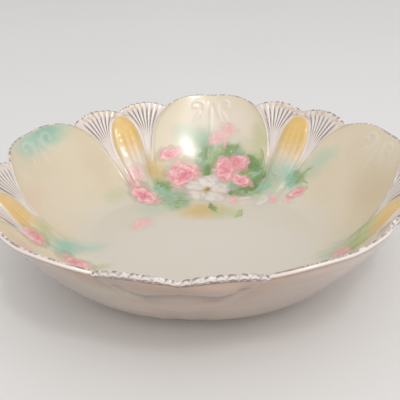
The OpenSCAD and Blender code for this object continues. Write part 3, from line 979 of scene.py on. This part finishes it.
class Finish:
    """A material and its nodes."""

    def __init__(self, name):
        self.material = bpy.data.materials.new(name)
        self.material.use_nodes = True
        self.tree = self.material.node_tree
        self.tree.nodes.clear()

    def node(self, kind, settings=None, sockets=None):
        """Adds a node: its settings are set first, then each socket gets its value or link."""
        node = self.tree.nodes.new(kind)
        for name, setting in (settings or {}).items():
            setattr(node, name, setting)
        for name, given in (sockets or {}).items():
            socket = node.inputs[name]
            if isinstance(given, Value):
                given = given.socket
            if isinstance(given, bpy.types.NodeSocket):
                self.tree.links.new(given, socket)
            elif socket.type == "RGBA":
                socket.default_value = (*given[:3], 1)
            else:
                socket.default_value = given
        return node

    def note(self, name):
        """A vector kept at the points of the mesh."""
        return self.node("ShaderNodeAttribute", {"attribute_name": name}).outputs["Vector"]

    def parts(self, vector):
        """The three numbers of a vector."""
        node = self.node("ShaderNodeSeparateXYZ", None, {0: vector})
        return [Value(self, socket) for socket in node.outputs]

    def vector(self, operation, *terms):
        """A Vector Math node."""
        return self.node("ShaderNodeVectorMath", {"operation": operation}, dict(enumerate(terms)))

    def size_of(self, vector):
        """The length of a vector."""
        return Value(self, self.vector("LENGTH", vector).outputs["Value"])

    def placed(self, vector, x, y, long, wide, turn=0):
        """A vector from a mark's middle, in units of half its length and half its width."""
        return self.node("ShaderNodeMapping", {"vector_type": "TEXTURE"}, {
            "Vector": vector, "Location": (x, y, 0), "Rotation": (0, 0, math.radians(turn)),
            "Scale": (long, wide, 1)}).outputs["Vector"]

    def nearest(self, vector, marks):
        """The vector from the nearest of some marks, and its length."""
        best = self.placed(vector, *marks[0])
        least = self.size_of(best)
        for mark in marks[1:]:
            local = self.placed(vector, *mark)
            reach = self.size_of(local)
            sockets = {0: reach < least, 4: best, 5: local}
            best = self.node("ShaderNodeMix", {"data_type": "VECTOR"}, sockets).outputs[1]
            least = least.least(reach)
        return best, least

    def noise(self, vector, scale, detail=2, rough=0.5, seed=0):
        """Cloudy values round a half."""
        node = self.node("ShaderNodeTexNoise", {"noise_dimensions": "4D"}, {
            "Vector": vector, "W": seed, "Scale": scale, "Detail": detail, "Roughness": rough})
        return Value(self, node.outputs["Fac"])

    def run(self, vector, colour, by):
        """A vector shifted by up to some length with the brightness of a colour."""
        return self.vector("MULTIPLY_ADD", colour, (by, by, 0), vector).outputs[0]

    def strokes(self, vector, turn, seed):
        """Streaky values round a half, drawn out in one direction like brush strokes."""
        return self.noise(self.placed(vector, 0, 0, *STROKE, turn), scale=1, seed=seed)

    def blend(self, first, second, amount):
        """The first colour, with an amount of the second laid over it."""
        settings = {"data_type": "RGBA", "clamp_factor": True}
        return self.node("ShaderNodeMix", settings, {0: amount, 6: first, 7: second}).outputs[2]

    def surface(self, sockets):
        """Ends the tree in a glossy surface and gives the material."""
        shader = self.node("ShaderNodeBsdfPrincipled", None, sockets)
        self.node("ShaderNodeOutputMaterial", None, {"Surface": shader.outputs["BSDF"]})
        return self.material


# The clear glaze over everything, and how much of the fans' white lies in the fields behind them
GLAZE = {"Coat Weight": 1.0, "Coat Roughness": 0.17, "Coat IOR": 1.5, "IOR": 1.5}
FIELD_WHITE = 0.95

# Tints, painted shade and gilding, by the span over which each comes; bands also have the span over
# which they go.
# In millimetres from the bowl's axis, along the floor and up the wall:
CREAM_COMES = (64, 112)
TAN_COMES = (80, 110)
# In millimetres past the rim:
LIP_TINT = (-0.6, 0.4)
OUTER_TINT = (2.8, 3.8)
INNER_GILT = ((-0.6, 0.6), (2.3, 1.6))
OUTER_GILT = ((4.4, 4.7), (5.4, 5.0))
TIP_GILT = ((-4.5, -1.5), (1.6, 0.4))
TIP_LINE = ((0.2, 1.2), (3.8, 2.6))
# TIP_SHADE: where the painted shade between the rib tips comes
TIP_SHADE = (0.5, 1.5)
LAP_LINE = (4.5, 4.9)
# In heights on the wall:
FAN_PALES = (0.56, 0.7)
# GROOVES spans the painted shade in the fans' grooves between the ribs
GROOVES = ((0.66, 0.8), (0.985, 0.91))
TAIL_PALES = (0.2, 0.45)
CAP_COMES = (0.42, 0.72)
CAP_VEINS = ((0.4, 0.52), (0.84, 0.7))
EDGE_PALES = (0.52, 0.66)

# Brush strokes: half length and half width in millimetres, and turns in degrees
STROKE = (9, 2.8)
RISING_STROKES = 65
FALLING_STROKES = -35

# How far the painting drifts from its marks and wet colours run, in millimetres, and a wash's soft edge
DRIFT = 5
WET = 1.5
WASH_EDGE = (1.05, 0.15)

# Painted marks, each as x, y, half length, half width and turn, in millimetres and degrees on the chart
# of the inside: the floor keeps its place, the wall is laid out flat round it, and +Y runs to the first
# lobe. A wash also has a colour and an amount.
ROSES = (
    (-21, 92, 17, 14, 40), (14, 99, 13, 11, 90), (27, 103, 10, 8, -35), (27, 86, 11, 7, -30),
    (-50, 61, 16, 9, -40), (73, 60, 7, 4.5, 25), (-112, -56, 15, 7, 50), (-78, -43, 12, 8, 0),
    (-36, 109, 11, 6, 30))
PALE_ROSES = (
    (19, 134, 9, 6, -10), (8, 128, 11, 6, 20), (15, 123, 5, 3, 90), (-62, 78, 11, 9, 80),
    (65, 55, 5, 4, 0), (-26, 114, 6, 5, 40), (-45, 19, 10, 7, 60), (53, 59, 6, 4, 90),
    (95, -40, 11, 6, -65), (23, 58, 7, 4, 90))
BLOSSOM = (
    (-1, 86, 10, 8, 0), (-11, 79, 9, 8, 35), (-8, 65, 11, 9, -60), (9, 77, 10, 9, -30),
    (5, 62, 12, 9, -80))
BLOSSOM_HEART = (-2, 75, 7, 5, 90)
WHITE_BUDS = ((44, 56, 12, 5, 70), (30, 60, 7, 4, 20))
FOLIAGE = (
    (-2, 108, 20, 11, 90), (20, 114, 17, 9, -10), (39, 92, 20, 14, 90), (31, 74, 22, 12, 5),
    (-37, 74, 13, 9, -50), (-23, 56, 19, 14, 85), (74, 74, 11, 8, -15))
TWIGS = ((54, 84, 17, 11, 90),)
DARK_LEAVES = (
    (39, 99, 11, 7, -60), (-5, 113, 7, 4.5, 75), (33, 77, 12, 6, 15), (43, 84, 9, 5, 30),
    (18, 71, 8, 4, -85), (5, 44, 11, 3, -65), (-2, 98, 7, 4, 80))
LIGHT_LEAVES = (
    (3, 105, 10, 5, 75), (8, 114, 8, 3, 15), (32, 91, 7, 5, -40), (47, 104, 9, 2, 85), (84, 76, 8, 2, 5),
    (80, 67, 6, 1.6, -55), (25, 35, 9, 4, 55), (-34, 79, 7, 3, -30))
TEAL_LEAVES = (
    (-39, 71, 9, 4.5, -30), (-29, 65, 12, 6, -65), (21, 79, 7, 4.5, -55), (46, 73, 8, 3, -5),
    (69, 73, 10, 5, 75))
WASHES = (
    ("shell", 0.5, (12, 138, 54, 30, 0)), ("sage", 0.4, (-52, 74, 32, 20, 90)),
    ("aqua", 0.85, (-148, 62, 40, 17, 65)), ("aqua", 0.6, (-154, 36, 24, 15, 70)),
    ("aqua", 0.9, (-91, -29, 24, 12, 65)), ("aqua", 0.5, (-76, -18, 19, 9, 30)),
    ("aqua", 0.8, (-90, -33, 14, 8, 50)), ("teal", 0.5, (-148, 66, 22, 9, 65)),
    ("teal", 0.7, (-8, 126, 17, 15, 90)), ("teal", 0.65, (-2, 111, 22, 16, 90)),
    ("sage", 0.7, (-25, 130, 20, 14, 10)), ("sage", 0.6, (20, 117, 24, 13, 0)),
    ("leaf_light", 0.7, (38, 91, 25, 18, 90)), ("leaf_light", 0.75, (33, 77, 30, 17, 0)),
    ("teal", 0.85, (-26, 57, 22, 17, -60)), ("teal", 0.5, (56, 82, 24, 15, 90)),
    ("sage", 0.6, (-38, 40, 26, 16, 0)), ("sage", 0.7, (42, 63, 28, 11, 0)),
    ("amber", 0.8, (-48, 90, 19, 13, -60)), ("amber", 0.9, (-3, 39, 26, 18, 0)),
    ("leaf_light", 0.5, (14, 37, 22, 15, 0)), ("aqua", 0.8, (69, 77, 17, 11, 90)),
    ("sage", 0.7, (84, 74, 22, 15, -10)), ("aqua", 0.4, (102, 79, 19, 11, -25)),
    ("leaf_light", 0.3, (-73, 54, 18, 11, 40)), ("leaf_light", 0.6, (-109, -33, 22, 13, -70)),
    ("leaf_light", 0.5, (-63, -39, 10, 4, 25)), ("leaf_light", 0.95, (108, -38, 25, 18, -18)),
    ("leaf", 0.6, (108, -30, 24, 10, -5)), ("sage", 0.5, (96, -29, 24, 12, -55)),
    ("aqua", 0.4, (84, -32, 17, 8, -60)), ("peach", 0.2, (-99, 85, 17, 13, 50)),
    ("peach", 0.4, (-129, -2, 25, 12, 90)), ("leaf_light", 0.4, (47, 122, 25, 11, 85)),
    # The tan wash over the right lobe is painted shade
    ("tan", 0.75, (130, 14, 50, 28, 90)), ("rose_pale", 0.3, (24, 57, 16, 10, 0)),
    ("moss", 0.4, (0, 74, 27, 21, 0)))


def painted(finish, base, colours):
    """Soft washes and brush strokes of green under leaves, roses and a white blossom, over a base colour.

    Each layer is shifted a little by the paint under it, as wet colours run.
    """
    chart = finish.note("chart")
    cloud = finish.node("ShaderNodeTexNoise", None, {"Vector": chart, "Scale": 0.11, "Detail": 3})
    both_ways = (2 * DRIFT, 2 * DRIFT, 0), (-DRIFT, -DRIFT, 0)
    drift = finish.vector("MULTIPLY_ADD", cloud.outputs["Color"], *both_ways).outputs[0]
    place = finish.vector("ADD", chart, drift).outputs[0]
    for name, amount, mark in WASHES:
        reach = finish.size_of(finish.placed(place, *mark))
        base = finish.blend(base, getattr(colours, name), reach.eased(*WASH_EDGE, amount))
    place = finish.run(place, base, WET)
    base = foliage(finish, base, place, colours)
    place = finish.run(place, base, -WET)
    base = leaves(finish, base, place, TEAL_LEAVES, colours.teal, colours.aqua, 0.75)
    base = leaves(finish, base, place, LIGHT_LEAVES, colours.leaf, colours.leaf_light, 0.75)
    base = leaves(finish, base, place, DARK_LEAVES, colours.moss, colours.leaf, 0.9)
    place = finish.run(place, base, WET)
    base = roses(finish, base, place, PALE_ROSES, colours.rose, colours, 0.75)
    base = roses(finish, base, place, ROSES, colours.rose_deep, colours, 1)
    place = finish.run(place, base, -WET)
    return white_blossom(finish, base, place, colours)


def foliage(finish, base, place, colours):
    """Loose strokes of green behind the flowers, and grey twigs beyond them."""
    rising = finish.strokes(place, RISING_STROKES, 0)
    falling = finish.strokes(place, FALLING_STROKES, 4)
    twigs = finish.nearest(place, TWIGS)[1].eased(1.1, 0.3) * abs(falling - rising).eased(0.05, 0.01)
    base = finish.blend(base, colours.teal, twigs * 0.8)
    cloud = finish.noise(place, scale=0.06, seed=7)
    shade = finish.blend(colours.teal, colours.leaf, cloud.eased(0.4, 0.56))
    shade = finish.blend(shade, colours.leaf_light, rising.eased(0.5, 0.66, 0.8))
    shade = finish.blend(shade, colours.moss, falling.eased(0.46, 0.3, 0.8))
    thick = finish.nearest(place, FOLIAGE)[1].eased(1.1, 0.45)
    return finish.blend(base, shade, thick * rising.most(falling).eased(0.32, 0.52, 0.92))


def leaves(finish, base, place, marks, dark, light, amount):
    """Soft pointed leaves with a pale side and a vein."""
    local = finish.nearest(place, marks)[0]
    along, across, _ = finish.parts(local)
    tone = finish.noise(place, scale=0.25, detail=3)
    inside = (1 - abs(along) ** 1.8 - abs(across) + (tone - 0.5) * 0.6).eased(-0.15, 0.5, amount)
    shade = finish.blend(dark, light, (tone + across * 0.2).eased(0.3, 0.7))
    shade = finish.blend(shade, light, abs(across).eased(0.2, 0.02, 0.5))
    return finish.blend(base, shade, inside)


def roses(finish, base, place, marks, deep, colours, amount):
    """Full roses of frilled petals, deeper towards the heart, with loose edges and a shadow round them."""
    local, reach = finish.nearest(place, marks)
    x, y, _ = finish.parts(local)
    frill = abs((y.angle_over(x) * 2.5 + reach * 3).sine())
    dabs = finish.node("ShaderNodeTexVoronoi", {"feature": "SMOOTH_F1"}, {
        "Vector": place, "Scale": 0.2, "Smoothness": 0.3})
    dab = Value(finish, dabs.outputs["Distance"])
    grain = finish.noise(place, scale=0.3, detail=3)
    petal = (reach * 2.6 - frill * 0.4 + grain * 0.9).fraction()
    pale = dab.eased(0.55, 0.1) * 0.55 + petal.eased(0.2, 0.9) * 0.5
    shade = finish.blend(colours.rose, colours.rose_pale, pale)
    shade = finish.blend(shade, deep, petal.eased(0.35, 0.0, 0.4) + dab.eased(0.5, 0.8, 0.35))
    shade = finish.blend(shade, deep, (reach + grain * 0.4).eased(0.75, 0.15, 0.7))
    edge = reach + frill * 0.1 + (grain - 0.5) * 0.6
    base = finish.blend(base, colours.moss, edge.eased(1.5, 1.0, amount - 0.65))
    return finish.blend(base, shade, edge.eased(1.75 - 0.55 * amount, 0.65 * amount, amount))


def white_blossom(finish, base, place, colours):
    """An open blossom of white petals round a golden heart, and pale buds below it."""
    grain = finish.noise(place, scale=0.2, detail=3) - 0.5
    for marks, amount in ((WHITE_BUDS, 0.6), (BLOSSOM, 0.95)):
        local, reach = finish.nearest(place, marks)
        x, y, _ = finish.parts(local)
        edge = reach + grain * 0.5
        fold = (y * 5 + x * 2 + grain * 8).sine()
        shade = finish.blend(colours.blossom, colours.rose_pale, grain.eased(-0.05, 0.15, 0.4))
        shade = finish.blend(shade, colours.blossom_shade, fold.eased(0.1, 1.0, 0.45))
        shade = finish.blend(shade, colours.blossom_shade, edge.eased(0.5, 1.0, 0.85))
        base = finish.blend(base, shade, edge.eased(1.15, 0.8, amount))
    heart = finish.size_of(finish.placed(place, *BLOSSOM_HEART)) + grain
    base = finish.blend(base, colours.amber, heart.eased(1.0, 0.5, 0.8))
    return finish.blend(base, colours.heart, heart.eased(0.6, 0.2))


def ground(finish, chart, colours):
    """The glaze under the painting: ivory on the floor, and cream with tan clouds up the wall."""
    reach = finish.size_of(chart)
    base = finish.blend(colours.ivory, colours.cream, reach.eased(*CREAM_COMES))
    clouds = finish.noise(chart, scale=0.02, detail=3).eased(0.42, 0.72, 0.45)
    return finish.blend(base, colours.tan, clouds * reach.eased(*TAN_COMES))


def inner_glaze(colours):
    """Cream glaze inside with washes, flowers, painted shade in crevices, painted highlight on scrolls, and
    worn rim gilding.
    """
    finish = Finish("inner_glaze")
    chart = finish.note("chart")
    rim, line, field = finish.parts(finish.note("zone"))
    base = finish.blend(ground(finish, chart, colours), colours.shell, field * FIELD_WHITE)
    base = painted(finish, base, colours)
    # On the scrolls the third note is below 0, so their ridges take the shell's white: partly thin glaze
    # over the relief, partly painted highlight.
    base = finish.blend(base, colours.shell, field * -1)
    # Painted shade along the crevices beside the relief, broken up by noise
    crevice_shade_breakup = finish.noise(chart, scale=0.08).eased(0.3, 0.7, 0.45)
    base = finish.blend(base, colours.groove, line * crevice_shade_breakup)
    base = finish.blend(base, colours.lip, rim.eased(*LIP_TINT))
    # The lip's outer roll takes the outer glaze colour, darkened as painted shade
    base = finish.blend(base, colours.outer, rim.eased(*OUTER_TINT))
    worn = finish.noise(chart, scale=0.2, detail=4, rough=0.75).eased(0.38, 0.58)
    gilt = rim.band(*INNER_GILT) * worn
    base = finish.blend(base, colours.worn_gold, gilt * 0.75)
    return finish.surface({"Base Color": base, "Roughness": 0.3, "Metallic": gilt * 0.4, **GLAZE})


def outer_glaze(colours):
    """Rosy glaze outside darkened as painted shade, faint peach and green lustre, painted crease shade, a
    worn line under the lip.
    """
    finish = Finish("outer_glaze")
    chart = finish.note("chart")
    rim, crease, _ = finish.parts(finish.note("zone"))
    place = finish.node("ShaderNodeTexCoord").outputs["Object"]
    streak = finish.vector("MULTIPLY", place, (9, 9, 50)).outputs[0]
    warm = finish.noise(streak, scale=1.2, detail=3).eased(0.45, 0.7, 0.45)
    base = finish.blend(colours.outer, colours.peach, warm)
    cool = finish.noise(streak, scale=1, detail=3, seed=3).eased(0.52, 0.75, 0.3)
    base = finish.blend(base, colours.sage, cool)
    # Painted shade in the crease outside and on the swell over it
    base = finish.blend(base, colours.groove, crease * 0.85)
    worn = finish.noise(chart, scale=0.2, detail=4, rough=0.6).eased(0.3, 0.55)
    gilt = rim.band(*OUTER_GILT) * worn
    base = finish.blend(base, colours.worn_gold, gilt * 0.8)
    return finish.surface({"Base Color": base, "Roughness": 0.3, "Metallic": gilt * 0.4, **GLAZE})


def shell_glaze(colours):
    """White fans with painted shade in the grooves and between the rib tips, and worn gilding on the rib
    tips.
    """
    finish = Finish("shell_glaze")
    chart = finish.note("chart")
    rib, height, rim = finish.parts(finish.note("zone"))
    wave = abs((rib * math.pi).sine())
    # Painted shade in the grooves between the ribs
    groove = wave.eased(0.85, 0.2) * height.band(*GROOVES)
    white = height.eased(*FIELD_PALES, FIELD_WHITE)
    base = finish.blend(ground(finish, chart, colours), colours.shell, white)
    base = painted(finish, base, colours)
    base = finish.blend(base, colours.shell, height.eased(*FAN_PALES))
    base = finish.blend(base, colours.groove, groove * 0.75)
    patch = finish.noise(chart, scale=0.09, detail=3).eased(0.42, 0.58)
    worn = finish.noise(chart, scale=0.5, detail=3).eased(0.36, 0.58)
    tip = rim.band(*TIP_GILT) * wave.eased(0.15, 0.6)
    gilt = tip * worn * (0.2 + 0.8 * patch)
    base = finish.blend(base, colours.gold, gilt * 0.6)
    line = rim.band(*TIP_LINE) * wave.eased(0.1, 0.6) * worn
    base = finish.blend(base, colours.worn_gold, line * 0.85)
    spots = finish.noise(chart, scale=0.4, detail=3, rough=0.6, seed=2).eased(0.4, 0.6)
    # Painted shade between the rib tips, broken into spots
    tip_shade = wave.eased(0.7, 0.1) * spots
    base = finish.blend(base, colours.groove, tip_shade * rim.eased(*TIP_SHADE, 0.55))
    base = finish.blend(base, colours.worn_gold, rim.eased(*LAP_LINE) * (0.35 + worn * 0.5))
    return finish.surface({"Base Color": base, "Roughness": 0.28, "Metallic": gilt * 0.6, **GLAZE})


def petal_lustre(colours):
    """Honey lustre on a petal's cap, deeper on its flanks as painted shade, which fades to cream down its
    painted tail.
    """
    finish = Finish("petal_lustre")
    chart = finish.note("chart")
    across, height, egg = finish.parts(finish.note("zone"))
    streak = finish.noise(chart, scale=0.12, detail=3) - 0.5
    cap = (height + streak * 0.12).eased(*CAP_COMES)
    base = finish.blend(ground(finish, chart, colours), colours.shell, height.eased(*TAIL_PALES, 0.5))
    base = finish.blend(base, colours.honey, cap * 0.95)
    # Painted shade: deeper amber on the flanks of the cap, towards its outline
    base = finish.blend(base, colours.amber, cap * (egg + streak * 0.5).eased(0.3, 0.85, 0.35))
    vein = (abs(across) * 14 - 1.6).sine().eased(0, 1) * height.band(*CAP_VEINS)
    base = finish.blend(base, colours.worn_gold, vein * (streak + 0.5) * 0.18)
    base = painted(finish, base, colours)
    base = finish.blend(base, colours.shell, egg.eased(0.94, 1.02, 0.85) * height.eased(*EDGE_PALES))
    return finish.surface({"Base Color": base, "Roughness": 0.32, **GLAZE})


def foot_glaze(colours):
    """Glazed foot with a bare tread."""
    finish = Finish("foot_glaze")
    high = finish.parts(finish.note("zone"))[0]
    place = finish.node("ShaderNodeTexCoord").outputs["Object"]
    grain = finish.noise(place, scale=600, detail=3)
    bare = (high + grain * 0.25).eased(0.75, 0.5)
    # The glazed foot takes the outer glaze colour, darkened as painted shade
    base = finish.blend(colours.outer, colours.biscuit, bare)
    sockets = {"Base Color": base, "Roughness": 0.28 + bare * 0.5, "Coat Weight": 1 - bare}
    return finish.surface({**GLAZE, **sockets})


# The camera's place in the bowl's frame in metres, its heading from +Y, pitch and roll in degrees, its lens
# and sensor in millimetres, and how near it sees, in metres
CAMERA_AT = (0.02797, -0.32341, 0.20653)
CAMERA_HEADING = 5.0589
CAMERA_PITCH = 27.5845
CAMERA_ROLL = -1.7986
CAMERA_LENS = 48.389
SENSOR = 36
CLIP_START = 0.01

# Lamps: name, place, target, width and height in metres, and power in watts
LAMPS = (
    ("key", (0.55, -1.0, 1.4), (0, 0, 0.03), 1.7, 1.7, 9),
    ("window", (0.22, -0.55, 1.0), (-0.02, 0.1, 0.03), 0.09, 0.15, 1.3))
SKY_COLOUR = (1, 1, 1, 1)
SKY_STRENGTH = 0.75

# The floor's reach from the bowl in metres, and the share of its colour that its darker grain has
FLOOR_REACH = 6
FLOOR_SHADE = 0.94


def make_camera():
    """The camera, where the bowl was seen from."""
    data = bpy.data.cameras.new("view")
    data.lens = CAMERA_LENS
    data.sensor_width = SENSOR
    data.clip_start = CLIP_START
    camera = bpy.data.objects.new("view", data)
    turn = Matrix.Rotation(math.radians(CAMERA_HEADING), 4, "Z")
    tilt = Matrix.Rotation(math.radians(90 - CAMERA_PITCH), 4, "X")
    roll = Matrix.Rotation(math.radians(CAMERA_ROLL), 4, "Z")
    camera.matrix_world = Matrix.Translation(CAMERA_AT) @ turn @ tilt @ roll
    bpy.context.scene.collection.objects.link(camera)
    bpy.context.scene.camera = camera


def make_lamp(name, place, target, wide, tall, watts):
    """A soft lamp that faces a target."""
    data = bpy.data.lights.new(name, "AREA")
    data.shape = "RECTANGLE"
    data.size = wide
    data.size_y = tall
    data.energy = watts
    lamp = bpy.data.objects.new(name, data)
    lamp.location = place
    lamp.rotation_euler = (Vector(target) - Vector(place)).to_track_quat("-Z", "Y").to_euler()
    bpy.context.scene.collection.objects.link(lamp)


def make_floor(colours):
    """A wide pale floor."""
    finish = Finish("pale_floor")
    place = finish.node("ShaderNodeTexCoord").outputs["Object"]
    grain = finish.noise(place, scale=3, detail=3)
    base = finish.blend(colours.floor, [FLOOR_SHADE * c for c in colours.floor], grain)
    mesh = bpy.data.meshes.new("floor")
    corners = [(x * FLOOR_REACH, y * FLOOR_REACH, 0) for x, y in ((-1, -1), (1, -1), (1, 1), (-1, 1))]
    mesh.from_pydata(corners, [], [(0, 1, 2, 3)])
    mesh.materials.append(finish.surface({"Base Color": base, "Roughness": 0.8}))
    floor = bpy.data.objects.new("floor", mesh)
    bpy.context.scene.collection.objects.link(floor)


class BOWL_OT_wall(bpy.types.Operator):
    """Make the glazed wall and floor of the bowl"""
    bl_idname = "bowl.wall"
    bl_label = "Wall"

    def execute(self, context):
        colours = context.scene.bowl_colours
        build_wall(context.scene.bowl_sizes, inner_glaze(colours), outer_glaze(colours))
        return {"FINISHED"}


class BOWL_OT_fans(bpy.types.Operator):
    """Make the shell fans on both sides of each lobe"""
    bl_idname = "bowl.fans"
    bl_label = "Shell fans"

    def execute(self, context):
        glaze = shell_glaze(context.scene.bowl_colours)
        for index in range(1, LOBES + 1):
            for side in (-1, 1):
                build_fan(context.scene.bowl_sizes, index, side, glaze)
        return {"FINISHED"}


class BOWL_OT_petals(bpy.types.Operator):
    """Make the gilt petals between the fans"""
    bl_idname = "bowl.petals"
    bl_label = "Gilt petals"

    def execute(self, context):
        lustre = petal_lustre(context.scene.bowl_colours)
        for index in range(1, LOBES + 1):
            build_petal(context.scene.bowl_sizes, index, lustre)
        return {"FINISHED"}


class BOWL_OT_foot(bpy.types.Operator):
    """Make the foot ring"""
    bl_idname = "bowl.foot"
    bl_label = "Foot ring"

    def execute(self, context):
        build_foot(context.scene.bowl_sizes, foot_glaze(context.scene.bowl_colours))
        return {"FINISHED"}


class BOWL_OT_stage(bpy.types.Operator):
    """Make the floor, the lamps and the camera"""
    bl_idname = "bowl.stage"
    bl_label = "Stage"

    def execute(self, context):
        make_floor(context.scene.bowl_colours)
        make_camera()
        for lamp in LAMPS:
            make_lamp(*lamp)
        world = bpy.data.worlds.new("soft_room")
        world.use_nodes = True
        sky = world.node_tree.nodes["Background"]
        sky.inputs["Color"].default_value = SKY_COLOUR
        sky.inputs["Strength"].default_value = SKY_STRENGTH
        context.scene.world = world
        context.scene.view_settings.view_transform = "Standard"
        return {"FINISHED"}


class BOWL_PT_panel(bpy.types.Panel):
    """Lists the pieces of the bowl, its sizes and its colours"""
    bl_label = "Porcelain bowl"
    bl_idname = "BOWL_PT_panel"
    bl_space_type = "VIEW_3D"
    bl_region_type = "UI"
    bl_category = "Bowl"

    def draw(self, context):
        for operator in OPERATORS:
            self.layout.operator(operator.bl_idname)
        for group in (context.scene.bowl_sizes, context.scene.bowl_colours):
            column = self.layout.column()
            for name in group.__annotations__:
                column.prop(group, name)


OPERATORS = (BOWL_OT_wall, BOWL_OT_fans, BOWL_OT_petals, BOWL_OT_foot, BOWL_OT_stage)
CLASSES = (BowlSizes, BowlColours, *OPERATORS, BOWL_PT_panel)


def register():
    for item in CLASSES:
        bpy.utils.register_class(item)
    bpy.types.Scene.bowl_sizes = PointerProperty(type=BowlSizes)
    bpy.types.Scene.bowl_colours = PointerProperty(type=BowlColours)


def unregister():
    del bpy.types.Scene.bowl_colours
    del bpy.types.Scene.bowl_sizes
    for item in reversed(CLASSES):
        bpy.utils.unregister_class(item)


def main():
    register()
    for operator in OPERATORS:
        family, name = operator.bl_idname.split(".")
        getattr(getattr(bpy.ops, family), name)()


if __name__ == "__main__":
    main()
